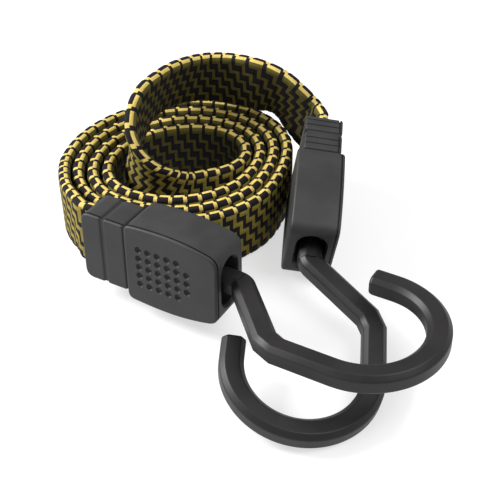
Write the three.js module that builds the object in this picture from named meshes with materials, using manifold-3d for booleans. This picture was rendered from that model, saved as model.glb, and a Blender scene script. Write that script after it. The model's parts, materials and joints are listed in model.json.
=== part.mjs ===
// A flat bungee cord lying coiled on a floor. An elastic strap stands on its edge in five loops,
// its far end rises over them, and each end is clamped in a moulded housing that carries a hook.
// Millimetres, +Z up. The floor is z = 0 and the origin is under the middle of the two fittings.

import * as THREE from 'three';
import Module from 'manifold-3d';
import { mergeVertices } from 'three/addons/utils/BufferGeometryUtils.js';

const wasm = await Module();
wasm.setup();

// Clearances and cuts
const seatGap = 0.3;
const turningGap = 0.4;
const overrun = 1;
const floorGap = 0.1;

// Strap: a flat woven sleeve round four flat rubber strands
const strapWidth = 18;
const strapThickness = 3.2;
const sleeveWall = 0.7;
const strandCount = 4;
const strapCornerShare = 0.2;

// Coil: each loop grows by a steady amount, and the first is drawn in where the strap dives into it
const coilCentre = { x: -18.7, y: 38.3 };
const coilStartRadius = { x: 16.7, y: 11.8 };
const coilGrowth = { x: 4.0, y: 4.3 };
const coilTurn = THREE.MathUtils.degToRad(23);
const coilDrawIn = 11.2;
const coilDrawInTurnsShare = 0.5;
const coilStartTurn = 0.28;
const coilEndTurn = 3.93;
// The outer loops are dented where the two fittings lean on them
const coilDents = [
  { towards: THREE.MathUtils.degToRad(239), spread: THREE.MathUtils.degToRad(28), depth: 1.9 },
  { towards: THREE.MathUtils.degToRad(-8), spread: THREE.MathUtils.degToRad(22), depth: 1.8 },
];
const stepsPerTurn = 20;
const coilHeight = strapWidth / 2 + floorGap;

// Free strap, from the neck of fitting B over the back of the coil and down inside it.
// Each point is the middle of the strap and how far its top edge leans towards the coil, in degrees.
const looseRoute = [
  { x: 18.8, y: 51.3, z: 20.3, lean: -7 },
  { x: 16.2, y: 54.3, z: 21.5, lean: -5 },
  { x: 11.4, y: 59.0, z: 24.6, lean: 1 },
  { x: 4.7, y: 62.5, z: 28.2, lean: 8 },
  { x: -1.9, y: 62.4, z: 28.7, lean: 14 },
  { x: -8.3, y: 62.6, z: 28.8, lean: 16 },
  { x: -15.0, y: 61.6, z: 28.5, lean: 17 },
  { x: -20.8, y: 58.6, z: 28.4, lean: 15 },
  { x: -25.1, y: 53.6, z: 28.4, lean: 10 },
  { x: -28.3, y: 47.4, z: 28.3, lean: 5 },
  { x: -30.5, y: 41.2, z: 26.9, lean: 2 },
  { x: -32.0, y: 36.4, z: 23.6, lean: -5 },
  { x: -32.0, y: 32.2, z: 19.8, lean: -11 },
  { x: -29.0, y: 29.6, z: 16.0, lean: -10 },
  { x: -24.0, y: 28.6, z: 12.6, lean: -5 },
  { x: -18.4, y: 29.2, z: 10.2, lean: 0 },
];
const looseSpanSteps = 2;
const twistPerStep = THREE.MathUtils.degToRad(2.5);

// Strap between the outermost loop and the neck of fitting A
const leadInRoute = [
  { x: -50.7, y: 33.4, z: 9.3, lean: 0 },
  { x: -50.5, y: 28.2, z: 11.0, lean: 0 },
  { x: -48.8, y: 22.8, z: 12.9, lean: 0 },
  { x: -44.9, y: 17.4, z: 14.0, lean: 0 },
];

// Fitting: its own frame has X along the strap towards the hook, from the housing's strap end,
// Y through the thickness with the dimpled cover on the -Y side, and Z across the strap
const bodyLength = 26.4;
const bodyThickness = 12.6;
const bodyStrapEndHalf = 11.05;
const bodyBellyHalf = 11.75;
const bodyBellyAtShare = 0.42;
const bodyHookEndHalf = 9.5;
const bodyStrapCorner = 2;
const bodyHookCorner = 2.6;
const bodyEdge = 0.7;
const coverThickness = 1.1;

// Neck: two ribbed pads that reach back over the strap
const neckLength = 13.6;
const neckGroove = 0.7;
const neckGrooveDepth = 0.45;
const neckWall = 0.6;
const neckSetBackFront = 0.9;
const neckSetBackRear = 1.6;
const neckEndCornerShare = 0.45;
const neckCornerShare = 0.15;
const neckEdge = 0.6;
const neckPadCount = 2;

// Strap clip: a steel strip folded over the end of the strap
const clipLength = 9;
const clipSteel = 0.8;
const clipHalf = 8.6;
const clipWallAtNeck = 1.2;

// Pin and the pocket that the hook swings in
const pinSetBack = 7.4;
const pinRadius = 2;
const pinSeatDepth = 1;
const pocketHalfAcross = 6.8;
const pocketHalfThrough = 3.75;
const eyeRadius = 4.6;

// Locating pegs on the cover
const pegRadius = 0.9;
const pegLength = 2.4;
const pegHalfSpacing = 8.4;
const pegToPin = 4.6;

// Dimples on the cover
const dimpleRadius = 0.7;
const dimpleDepth = 0.5;
const dimplePitch = { along: 2.77, across: 2.6 };
const dimpleStart = 4.2;
const dimpleRows = [5, 6, 6, 6, 5];

// Hook: a bar with bevelled edges, bent in one plane
const barHalfAcross = 2.95;
const barHalfThrough = 2.75;
const barBevelShare = 0.45;
const rootHalf = 3.05;
const shankReach = 16.2;
const armLength = 16.4;
const hookRadius = 16.8;
const hookTipRun = 5;
const hookTipChamfer = 0.9;
const rootBendRadius = 1.5;
const rootStraight = 3.4;
const cornerBendRadius = 3.5;
const hookSteps = 40;

// Where the two fittings lie, each measured at the strap end of its housing
const fittingA = { x: -27.8, y: 3.9, z: 14.9, yaw: -29.6, pitch: 2.4, roll: -4.2, hookTilt: 0.4 };
const fittingB = { x: 17.65, y: 32.1, z: 18, yaw: -95.3, pitch: -11.3, roll: 172.6, hookTilt: -3 };

const roundSides = 16;
const smallSides = 10;
const dimpleSides = 6;
const curveSteps = 4;
const bevelSteps = 2;

// Sizes that follow from the ones above
const strapHalfThickness = strapThickness / 2;
const strapEnd = clipWallAtNeck + seatGap + clipLength - clipSteel - seatGap;
const bodyHalfThickness = bodyThickness / 2;
const coverJoint = bodyHalfThickness - coverThickness;
const bodyBellyAt = bodyBellyAtShare * bodyLength;
const neckHalf = strapWidth / 2 + seatGap + neckWall;
const neckFront = bodyHalfThickness - neckSetBackFront;
const neckRear = bodyHalfThickness - neckSetBackRear;
const neckCoverJoint = neckFront - coverThickness;
const pinAt = bodyLength - pinSetBack;
const mouthAt = bodyLength + rootStraight;
const hookCornerAt = mouthAt + shankReach;
const hookArcAt = hookCornerAt + armLength;
const clipOuterHalf = strapHalfThickness + seatGap + clipSteel;
const chamberEnd = clipWallAtNeck + clipLength + 2 * seatGap;
const pocketStart = pinAt - eyeRadius - turningGap;
const padLength = (neckLength - neckPadCount * neckGroove) / neckPadCount;
const neckEndCorner = neckEndCornerShare * padLength;
const neckCorner = neckCornerShare * padLength;

// Solids
function toSolid(geometry) {
  const bare = geometry.clone();
  bare.deleteAttribute('normal');
  bare.deleteAttribute('uv');
  const merged = mergeVertices(bare);
  const mesh = new wasm.Mesh({
    numProp: 3,
    vertProperties: new Float32Array(merged.attributes.position.array),
    triVerts: new Uint32Array(merged.index.array),
  });
  return new wasm.Manifold(mesh);
}

function toGeometry(solid) {
  const mesh = solid.getMesh();
  const geometry = new THREE.BufferGeometry();
  geometry.setAttribute('position', new THREE.BufferAttribute(new Float32Array(mesh.vertProperties), 3));
  geometry.setIndex(new THREE.BufferAttribute(new Uint32Array(mesh.triVerts), 1));
  return geometry;
}

function join(solids) {
  return solids.reduce((sum, solid) => sum.add(solid));
}

// A box between two corners
function block(low, high) {
  const size = high.map((value, i) => value - low[i]);
  const geometry = new THREE.BoxGeometry(...size);
  geometry.translate(...high.map((value, i) => (value + low[i]) / 2));
  return toSolid(geometry);
}

// A plate whose outline is drawn along X and Z, from its front at -Y to its rear
function plate(outline, front, rear, edge) {
  const geometry = new THREE.ExtrudeGeometry(outline, {
    depth: rear - front - 2 * edge,
    bevelEnabled: edge > 0,
    bevelSize: edge,
    bevelThickness: edge,
    bevelOffset: -edge,
    bevelSegments: bevelSteps,
    curveSegments: curveSteps,
  });
  geometry.rotateX(Math.PI / 2);
  geometry.translate(0, rear - edge, 0);
  return toSolid(geometry);
}

// A round bar through the thickness
function bar(radius, x, z, front, rear, sides) {
  const geometry = new THREE.CylinderGeometry(radius, radius, rear - front, sides);
  geometry.translate(x, (front + rear) / 2, z);
  return toSolid(geometry);
}

// The upper half of an outline, mirrored in the X axis
function mirroredOutline(upper) {
  const points = upper.getPoints(curveSteps);
  const lower = points.map((point) => new THREE.Vector2(point.x, -point.y)).reverse();
  return new THREE.Shape([...points, ...lower]);
}

// Housing: one outer form, cut into a deep tray and a thin cover
function bellyHalfAt(x) {
  const strapSide = x < bodyBellyAt;
  const drop = bodyBellyHalf - (strapSide ? bodyStrapEndHalf : bodyHookEndHalf);
  const run = strapSide ? bodyBellyAt : bodyLength - bodyBellyAt;
  return bodyBellyHalf - drop * ((x - bodyBellyAt) / run) ** 2;
}

function bodyOutline() {
  const first = bodyStrapCorner;
  const last = bodyLength - bodyHookCorner;
  const upper = new THREE.Path();
  upper.moveTo(0, bellyHalfAt(0) - bodyStrapCorner);
  upper.quadraticCurveTo(0, bellyHalfAt(first / 2), first, bellyHalfAt(first));
  upper.quadraticCurveTo((first + bodyBellyAt) / 2, bodyBellyHalf, bodyBellyAt, bodyBellyHalf);
  upper.quadraticCurveTo((last + bodyBellyAt) / 2, bodyBellyHalf, last, bellyHalfAt(last));
  upper.quadraticCurveTo(bodyLength, bellyHalfAt(bodyLength), bodyLength, bodyHookEndHalf - bodyHookCorner);
  return mirroredOutline(upper);
}

function padOutline(start, end, startCorner, endCorner) {
  const upper = new THREE.Path();
  upper.moveTo(start, neckHalf - startCorner);
  upper.quadraticCurveTo(start, neckHalf, start + startCorner, neckHalf);
  upper.lineTo(end - endCorner, neckHalf);
  upper.quadraticCurveTo(end, neckHalf, end, neckHalf - endCorner);
  return mirroredOutline(upper);
}

function neckPads() {
  const pads = [];
  for (let i = 0; i < neckPadCount; i += 1) {
    const start = -neckLength + i * (padLength + neckGroove);
    const startCorner = i === 0 ? neckEndCorner : neckCorner;
    const outline = padOutline(start, start + padLength, startCorner, neckCorner);
    pads.push(plate(outline, -neckFront, neckRear, neckEdge));
  }
  return pads;
}

function outerForm() {
  const spineStart = -neckLength + neckEndCorner;
  const spineHalf = neckHalf - neckGrooveDepth;
  const spine = block(
    [spineStart, neckGrooveDepth - neckFront, -spineHalf],
    [bodyStrapCorner, neckRear - neckGrooveDepth, spineHalf],
  );
  const body = plate(bodyOutline(), -bodyHalfThickness, bodyHalfThickness, bodyEdge);
  return join([body, spine, ...neckPads()]);
}

// The slot, oblong across the strap with arched ends, that the hook's root swings in
function pocketForm() {
  const straight = pocketHalfAcross - pocketHalfThrough;
  const outline = new THREE.Shape();
  outline.absarc(0, straight, pocketHalfThrough, 0, Math.PI);
  outline.absarc(0, -straight, pocketHalfThrough, Math.PI, 2 * Math.PI);
  const geometry = new THREE.ExtrudeGeometry(outline, {
    depth: bodyLength + overrun - pocketStart,
    bevelEnabled: false,
    curveSegments: 2 * curveSteps,
  });
  const across = new THREE.Vector3(0, 1, 0);
  const up = new THREE.Vector3(0, 0, 1);
  const along = new THREE.Vector3(1, 0, 0);
  geometry.applyMatrix4(new THREE.Matrix4().makeBasis(across, up, along));
  geometry.translate(pocketStart, 0, 0);
  return toSolid(geometry);
}

// What the cover fills behind its plate: the mouth of the channel, the chamber and the pocket
const channelHalf = strapWidth / 2 + seatGap;
const channelDepth = strapHalfThickness + seatGap;
const bayHalf = eyeRadius + turningGap;
const channelSpan = [-neckLength, clipWallAtNeck];
const chamberSpan = [clipWallAtNeck, chamberEnd];
const baySpan = [pocketStart, bodyLength];

function coverHalfspace(offset) {
  const far = bodyBellyHalf + overrun;
  const body = block([0, -far, -far], [bodyLength + overrun, -coverJoint - offset, far]);
  const neck = block([-neckLength - overrun, -far, -far], [overrun - offset, -neckCoverJoint - offset, far]);
  return body.add(neck);
}

function pegs(radius, depth) {
  const solids = [];
  for (const end of [-1, 1]) {
    for (const side of [-1, 1]) {
      const x = pinAt + end * pegToPin;
      solids.push(bar(radius, x, side * pegHalfSpacing, -coverJoint - overrun, depth - coverJoint, smallSides));
    }
  }
  return solids;
}

function trayForm() {
  const front = -bodyHalfThickness - overrun;
  const channel = block(
    [channelSpan[0] - overrun, front, -channelHalf],
    [channelSpan[1] + overrun, channelDepth, channelHalf],
  );
  const chamber = block(
    [chamberSpan[0], front, -channelHalf],
    [chamberSpan[1], clipOuterHalf + seatGap, channelHalf],
  );
  const bay = block([baySpan[0], front, -bayHalf], [baySpan[1] + overrun, 0, bayHalf]);
  const pinSeat = bar(pinRadius + seatGap, pinAt, 0, 0, pocketHalfThrough + pinSeatDepth + seatGap, roundSides);
  const pegSeats = pegs(pegRadius + seatGap, pegLength + seatGap);
  const cuts = join([coverHalfspace(0), channel, chamber, bay, pocketForm(), pinSeat, ...pegSeats]);
  return outerForm().subtract(cuts);
}

function dimples() {
  const solids = [];
  const middle = (dimpleRows.length - 1) / 2;
  dimpleRows.forEach((count, row) => {
    for (let i = 0; i < count; i += 1) {
      const x = dimpleStart + i * dimplePitch.along;
      const z = (middle - row) * dimplePitch.across;
      const front = -bodyHalfThickness - overrun;
      solids.push(bar(dimpleRadius, x, z, front, dimpleDepth - bodyHalfThickness, dimpleSides));
    }
  });
  return join(solids);
}

function coverForm() {
  const skin = outerForm().intersect(coverHalfspace(seatGap));
  const channelRib = block(
    [channelSpan[0] + neckEdge, seatGap - neckFront, seatGap - channelHalf],
    [channelSpan[1], -channelDepth, channelHalf - seatGap],
  );
  const chamberRib = block(
    [chamberSpan[0] + seatGap, -coverJoint - coverThickness / 2, seatGap - channelHalf],
    [chamberSpan[1] - seatGap, -clipOuterHalf - seatGap, channelHalf - seatGap],
  );
  const bayRib = block(
    [baySpan[0] + seatGap, -coverJoint - coverThickness / 2, seatGap - bayHalf],
    [baySpan[1] - seatGap, -pocketHalfThrough, bayHalf - seatGap],
  );
  const pinSeat = bar(pinRadius + seatGap, pinAt, 0, -pocketHalfThrough - pinSeatDepth - seatGap, 0, roundSides);
  const filled = join([skin, channelRib, chamberRib, bayRib, ...pegs(pegRadius, pegLength)]);
  const insideFront = block(
    [-neckLength - overrun, -bodyHalfThickness, -bodyBellyHalf],
    [bodyLength, 0, bodyBellyHalf],
  );
  return filled.intersect(insideFront).subtract(join([dimples(), pinSeat]));
}

// Strap clip
function clipForm() {
  const start = clipWallAtNeck + seatGap;
  const outer = block([start, -clipOuterHalf, -clipHalf], [start + clipLength, clipOuterHalf, clipHalf]);
  const slot = block(
    [start - overrun, -strapHalfThickness - seatGap, -clipHalf - overrun],
    [start + clipLength - clipSteel, strapHalfThickness + seatGap, clipHalf + overrun],
  );
  return outer.subtract(slot);
}

function pinForm() {
  const half = pocketHalfThrough + pinSeatDepth;
  return bar(pinRadius, pinAt, 0, -half, half, roundSides);
}

// Hook
class PlanarCurve extends THREE.Curve {
  constructor(path) {
    super();
    this.path = path;
  }

  getPoint(share, target = new THREE.Vector3()) {
    const point = this.path.getPoint(share);
    return target.set(point.x, point.y, 0);
  }
}

// The bar's section, with X square to the hook's plane and Y in it
function barSection() {
  const bevel = barBevelShare * barHalfThrough;
  const right = [
    new THREE.Vector2(barHalfThrough - bevel, -barHalfAcross),
    new THREE.Vector2(barHalfThrough, bevel - barHalfAcross),
    new THREE.Vector2(barHalfThrough, barHalfAcross - bevel),
    new THREE.Vector2(barHalfThrough - bevel, barHalfAcross),
  ];
  const left = right.map((point) => new THREE.Vector2(-point.x, -point.y));
  return new THREE.Shape([...right, ...left]);
}

function towards(from, to, distance) {
  return to.clone().sub(from).setLength(distance).add(from);
}

// The bar's centre line: out of the pocket, aslant to one side, along the arm and round the bow
function hookLine() {
  const root = new THREE.Vector2(pinAt, 0);
  const mouth = new THREE.Vector2(mouthAt, 0);
  const corner = new THREE.Vector2(hookCornerAt, -hookRadius);
  const armEnd = new THREE.Vector2(hookArcAt, -hookRadius);
  const mouthIn = towards(mouth, root, rootBendRadius);
  const mouthOut = towards(mouth, corner, rootBendRadius);
  const cornerIn = towards(corner, mouth, cornerBendRadius);
  const cornerOut = towards(corner, armEnd, cornerBendRadius);
  const path = new THREE.Path();
  path.moveTo(root.x, root.y);
  path.lineTo(mouthIn.x, mouthIn.y);
  path.quadraticCurveTo(mouth.x, mouth.y, mouthOut.x, mouthOut.y);
  path.lineTo(cornerIn.x, cornerIn.y);
  path.quadraticCurveTo(corner.x, corner.y, cornerOut.x, cornerOut.y);
  path.lineTo(armEnd.x, armEnd.y);
  path.absarc(hookArcAt, 0, hookRadius, -Math.PI / 2, Math.PI / 2);
  path.lineTo(hookArcAt - hookTipRun, hookRadius);
  return new PlanarCurve(path);
}

function hookForm() {
  const barSolid = toSolid(new THREE.ExtrudeGeometry(barSection(), {
    steps: hookSteps,
    extrudePath: hookLine(),
  }));
  const outside = block(
    [bodyLength - rootBendRadius, -bodyBellyHalf - hookRadius, -bodyBellyHalf],
    [hookArcAt + 2 * hookRadius, bodyBellyHalf + hookRadius, bodyBellyHalf],
  );
  const rootRadius = rootHalf / Math.cos(Math.PI / 8);
  const rootLength = mouthAt - pinAt;
  const root = new THREE.CylinderGeometry(rootRadius, rootRadius, rootLength, 8);
  root.rotateY(Math.PI / 8);
  root.rotateZ(Math.PI / 2);
  root.translate(pinAt + rootLength / 2, 0, 0);
  const tip = new THREE.ExtrudeGeometry(barSection(), {
    depth: barHalfAcross,
    bevelThickness: hookTipChamfer,
    bevelSize: hookTipChamfer,
    bevelOffset: -hookTipChamfer,
    bevelSegments: 1,
  });
  tip.rotateY(-Math.PI / 2);
  tip.translate(hookArcAt - hookTipRun + barHalfAcross, hookRadius, 0);
  const eye = bar(eyeRadius, pinAt, 0, -rootHalf, rootHalf, roundSides);
  const bore = bar(pinRadius + seatGap, pinAt, 0, -pocketHalfThrough, pocketHalfThrough, roundSides);
  return join([barSolid.intersect(outside), toSolid(root), toSolid(tip), eye]).subtract(bore);
}

// Strap route
function coilPoint(turn) {
  const angle = 2 * Math.PI * turn - Math.PI;
  const pull = Math.cos((Math.PI / 2) * Math.min(turn / coilDrawInTurnsShare, 1)) ** 2;
  const x = (coilStartRadius.x + coilGrowth.x * turn) * Math.cos(angle);
  const y = (coilStartRadius.y + coilGrowth.y * turn) * Math.sin(angle) + coilDrawIn * pull;
  const point = new THREE.Vector2(x, y).rotateAround(new THREE.Vector2(), coilTurn);
  const heading = point.angle();
  let dent = 0;
  for (const { towards: direction, spread, depth } of coilDents) {
    const aside = Math.atan2(Math.sin(heading - direction), Math.cos(heading - direction));
    dent += depth * (turn / coilEndTurn) * Math.exp(-((aside / spread) ** 2));
  }
  point.setLength(point.length() - dent);
  return new THREE.Vector3(coilCentre.x + point.x, coilCentre.y + point.y, coilHeight);
}

function coilRoute() {
  const points = [];
  const steps = Math.round((coilEndTurn - coilStartTurn) * stepsPerTurn);
  for (let i = 0; i <= steps; i += 1) {
    const point = coilPoint(coilStartTurn + i / stepsPerTurn);
    points.push({ x: point.x, y: point.y, z: point.z, lean: 0 });
  }
  return points;
}

// Four stops along the strap where it is held: its end, the neck, and the straight run out of it
function heldRoute(fitting, side) {
  const flip = side * strapWidth;
  const across = new THREE.Vector3(0, 0, flip).applyQuaternion(fitting.quaternion).normalize();
  const stops = [strapEnd, 0, -neckLength, -neckLength - strapThickness];
  return stops.map((x) => {
    const point = new THREE.Vector3(x, 0, 0).applyMatrix4(fitting.matrixWorld);
    return { x: point.x, y: point.y, z: point.z, up: across };
  });
}

// Sets the strap's frame at each stop: along it, across its width and through its thickness
function strapStations(route) {
  const points = route.map((stop) => new THREE.Vector3(stop.x, stop.y, stop.z));
  const line = new THREE.CatmullRomCurve3(points);
  const ups = route.map((stop, i) => {
    if (stop.up) {
      return stop.up;
    }
    const along = line.getTangent(i / (points.length - 1));
    const outward = new THREE.Vector3(along.y, -along.x, 0).normalize();
    const lean = THREE.MathUtils.degToRad(stop.lean);
    const up = new THREE.Vector3(0, 0, 1);
    up.multiplyScalar(Math.cos(lean)).addScaledVector(outward, -Math.sin(lean));
    return up.addScaledVector(along, -up.dot(along)).normalize();
  });
  const upLine = new THREE.CatmullRomCurve3(ups);
  const stations = [];
  for (let i = 0; i < points.length; i += 1) {
    const twist = ups[i].angleTo(ups[i + 1] ?? ups[i]);
    const steps = Math.max(route[i].steps ?? 1, Math.ceil(twist / twistPerStep));
    for (let step = 0; step < steps; step += 1) {
      const share = Math.min((i + step / steps) / (points.length - 1), 1);
      const along = line.getTangent(share);
      const width = upLine.getPoint(share);
      width.addScaledVector(along, -width.dot(along)).normalize();
      const through = new THREE.Vector3().crossVectors(along, width);
      stations.push({ stop: i, place: line.getPoint(share), along, width, through });
    }
  }
  return stations;
}

// Carries a section along the strap, X across the width and Y through the thickness
function sweep(stations, contour, holes = []) {
  const rings = [contour, ...holes];
  const ringPoints = rings.flat();
  const positions = [];
  for (const station of stations) {
    for (const point of ringPoints) {
      const place = station.place.clone();
      place.addScaledVector(station.width, point.x).addScaledVector(station.through, point.y);
      positions.push(place.x, place.y, place.z);
    }
  }
  const index = [];
  const count = ringPoints.length;
  for (let s = 0; s + 1 < stations.length; s += 1) {
    let first = 0;
    for (const ring of rings) {
      for (let i = 0; i < ring.length; i += 1) {
        const a = s * count + first + i;
        const b = s * count + first + (i + 1) % ring.length;
        index.push(a, b, b + count, a, b + count, a + count);
      }
      first += ring.length;
    }
  }
  const last = (stations.length - 1) * count;
  for (const [a, b, c] of THREE.ShapeUtils.triangulateShape(contour, holes)) {
    const turnsLeft = THREE.ShapeUtils.area([ringPoints[a], ringPoints[b], ringPoints[c]]) > 0;
    const [p, q, r] = turnsLeft ? [a, b, c] : [a, c, b];
    index.push(r, q, p, last + p, last + q, last + r);
  }
  const geometry = new THREE.BufferGeometry();
  geometry.setAttribute('position', new THREE.Float32BufferAttribute(positions, 3));
  geometry.setIndex(index);
  return geometry;
}

function rectangle(left, right, bottom, top) {
  return [
    new THREE.Vector2(left, bottom),
    new THREE.Vector2(right, bottom),
    new THREE.Vector2(right, top),
    new THREE.Vector2(left, top),
  ];
}

function strapOutline() {
  const halfWidth = strapWidth / 2;
  const corner = strapCornerShare * strapThickness;
  const right = [
    new THREE.Vector2(halfWidth - corner, -strapHalfThickness),
    new THREE.Vector2(halfWidth, 0),
    new THREE.Vector2(halfWidth - corner, strapHalfThickness),
  ];
  const left = right.map((point) => new THREE.Vector2(-point.x, -point.y));
  return [...right, ...left];
}

const boreHalfWidth = strapWidth / 2 - sleeveWall;
const boreHalfThickness = strapHalfThickness - sleeveWall;
const boreOutline = rectangle(-boreHalfWidth, boreHalfWidth, -boreHalfThickness, boreHalfThickness).reverse();

function strandOutline(i) {
  const pitch = (2 * boreHalfWidth - seatGap) / strandCount;
  const left = seatGap - boreHalfWidth + i * pitch;
  const half = boreHalfThickness - seatGap;
  return rectangle(left, left + pitch - seatGap, -half, half);
}

// The least distance between two lengths of the strap that are not neighbours along it
function leastGap(stations) {
  const outline = strapOutline();
  const reach = 2 * strapThickness + strapWidth;
  const travelled = [0];
  for (let i = 1; i < stations.length; i += 1) {
    travelled.push(travelled[i - 1] + stations[i].place.distanceTo(stations[i - 1].place));
  }
  let least = Infinity;
  stations.forEach((from, i) => {
    const points = outline.map((point) => from.place.clone()
      .addScaledVector(from.width, point.x)
      .addScaledVector(from.through, point.y));
    for (let k = 0; k + 1 < stations.length; k += 1) {
      if (Math.abs(travelled[k] - travelled[i]) < reach) {
        continue;
      }
      const to = stations[k];
      const step = stations[k + 1].place.distanceTo(to.place);
      for (const point of points) {
        const offset = point.clone().sub(to.place);
        const ahead = offset.dot(to.along);
        if (ahead < 0 || ahead > step) {
          continue;
        }
        const beside = Math.abs(offset.dot(to.width)) - strapWidth / 2;
        const through = Math.abs(offset.dot(to.through)) - strapHalfThickness;
        least = Math.min(least, Math.max(beside, through));
      }
    }
  });
  return { least, length: travelled[travelled.length - 1] };
}

// Materials
const finishes = {
  sleeve: { color: 0x7a6a20, roughness: 0.85, metalness: 0 },
  rubber: { color: 0xc8b083, roughness: 0.7, metalness: 0 },
  housing: { color: 0x35363a, roughness: 0.6, metalness: 0 },
  hook: { color: 0x242529, roughness: 0.55, metalness: 0 },
  steel: { color: 0xa8a8a8, roughness: 0.35, metalness: 1 },
};

function piece(name, geometry, finish) {
  const mesh = new THREE.Mesh(geometry, new THREE.MeshStandardMaterial(finishes[finish]));
  mesh.name = name;
  return mesh;
}

// Fittings
const trayGeometry = toGeometry(trayForm());
const coverGeometry = toGeometry(coverForm());
const clipGeometry = toGeometry(clipForm());
const pinGeometry = toGeometry(pinForm());
const hookGeometry = toGeometry(hookForm());
hookGeometry.translate(-pinAt, 0, 0);

function buildFitting(letter, pose) {
  const { degToRad } = THREE.MathUtils;
  const fitting = new THREE.Group();
  fitting.position.set(pose.x, pose.y, pose.z);
  fitting.rotation.set(degToRad(pose.roll), degToRad(-pose.pitch), degToRad(pose.yaw), 'ZYX');
  fitting.add(piece(`housing_tray_${letter}`, trayGeometry, 'housing'));
  fitting.add(piece(`housing_cover_${letter}`, coverGeometry, 'housing'));
  fitting.add(piece(`strap_clip_${letter}`, clipGeometry, 'steel'));
  fitting.add(piece(`hook_pin_${letter}`, pinGeometry, 'steel'));
  const swing = new THREE.Group();
  swing.position.set(pinAt, 0, 0);
  swing.rotation.y = degToRad(-pose.hookTilt);
  swing.add(piece(`hook_${letter}`, hookGeometry, 'hook'));
  fitting.add(swing);
  return fitting;
}

// Assembly: fitting B comes down until its hook lies on the floor
const cord = new THREE.Group();
const fittings = new THREE.Group();
const endA = buildFitting('a', fittingA);
const endB = buildFitting('b', fittingB);
fittings.add(endA, endB);
endB.position.z -= new THREE.Box3().setFromObject(endB, true).min.z;
fittings.updateMatrixWorld(true);
cord.add(fittings);

const heldB = heldRoute(endB, -1);
const heldA = heldRoute(endA, 1).reverse();
const loose = looseRoute.map((stop) => ({ ...stop, steps: looseSpanSteps }));
const leadIn = leadInRoute.map((stop) => ({ ...stop, steps: looseSpanSteps }));
heldB[heldB.length - 1].steps = looseSpanSteps;
const stations = strapStations([...heldB, ...loose, ...coilRoute(), ...leadIn, ...heldA]);
const looseCount = stations.findIndex((station) => station.stop === heldB.length + loose.length);

// The sleeve is one tube in the free stretch and one in the coil, a seat gap apart
const looseStations = stations.slice(0, looseCount + 1);
const coilStations = stations.slice(looseCount);
const cut = looseStations[looseStations.length - 1];
looseStations[looseStations.length - 1] = { ...cut, place: cut.place.clone().addScaledVector(cut.along, -seatGap) };

cord.add(piece('strap_loop', sweep(looseStations, strapOutline(), [boreOutline]), 'sleeve'));
cord.add(piece('strap_coil', sweep(coilStations, strapOutline(), [boreOutline]), 'sleeve'));
for (let i = 0; i < strandCount; i += 1) {
  cord.add(piece(`rubber_strand_${i + 1}`, sweep(stations, strandOutline(i)), 'rubber'));
}

const measured = leastGap(stations);
console.log(`Strap length ${measured.length.toFixed(1)} mm, least gap to itself ${measured.least.toFixed(2)} mm`);

const span = new THREE.Box3().setFromObject(fittings, true).getCenter(new THREE.Vector3());
cord.position.set(-span.x, -span.y, 0);

export default cord;
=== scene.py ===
"""Looks of a flat bungee cord: a woven strap lying coiled, and two hooked fittings.

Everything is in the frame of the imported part: metres, +Z up, the floor at z = 0.
Shapes are written in millimetres and scaled once, by MM. In a fitting's own frame X runs
from the housing's strap end towards the hook, the cover is at -Y, and Z is across the strap.
"""

import json
import math

import bpy
import numpy as np
from mathutils import Matrix, Vector


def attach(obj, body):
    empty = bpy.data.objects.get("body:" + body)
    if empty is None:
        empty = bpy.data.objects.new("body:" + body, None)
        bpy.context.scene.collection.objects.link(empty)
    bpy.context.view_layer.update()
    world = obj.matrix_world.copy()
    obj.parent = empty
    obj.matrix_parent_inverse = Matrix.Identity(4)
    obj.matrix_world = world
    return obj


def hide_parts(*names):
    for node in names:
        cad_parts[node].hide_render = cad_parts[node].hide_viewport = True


MM = 0.001
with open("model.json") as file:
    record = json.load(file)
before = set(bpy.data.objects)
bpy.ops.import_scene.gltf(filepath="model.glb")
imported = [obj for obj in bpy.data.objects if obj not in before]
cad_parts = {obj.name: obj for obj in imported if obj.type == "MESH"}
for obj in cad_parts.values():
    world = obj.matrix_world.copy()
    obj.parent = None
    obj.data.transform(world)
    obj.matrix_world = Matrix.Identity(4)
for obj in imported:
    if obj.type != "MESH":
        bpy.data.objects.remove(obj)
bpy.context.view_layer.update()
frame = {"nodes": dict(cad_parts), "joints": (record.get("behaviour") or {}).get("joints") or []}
scene = bpy.context.scene

# From the frame in which the camera and the strap's route were measured to the part's own
OFFSET = Vector((-2.036, 0.891, 0.0))

# Clearances, and how far a cutting solid runs past what it cuts
SEAT_GAP = 0.3
TURNING_GAP = 0.4
OVERRUN = 1.0

# Strap
STRAP_WIDTH = 18.0
STRAP_THICKNESS = 3.2
SLEEVE_WALL = 0.7
STRAP_END_AT = 9.4

# Housing
BODY_LENGTH = 26.4
BODY_THICKNESS = 12.6
BODY_STRAP_END_HALF = 11.05
BODY_BELLY_HALF = 11.75
BODY_BELLY_SHARE = 0.42
BODY_BELLY_AT = BODY_BELLY_SHARE * BODY_LENGTH
BODY_HOOK_END_HALF = 9.5
BODY_STRAP_CORNER = 2.0
BODY_HOOK_CORNER = 2.6
BODY_EDGE = 0.7
HALF_THICKNESS = BODY_THICKNESS / 2
COVER_THICKNESS = 1.1
COVER_JOINT = HALF_THICKNESS - COVER_THICKNESS

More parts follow.
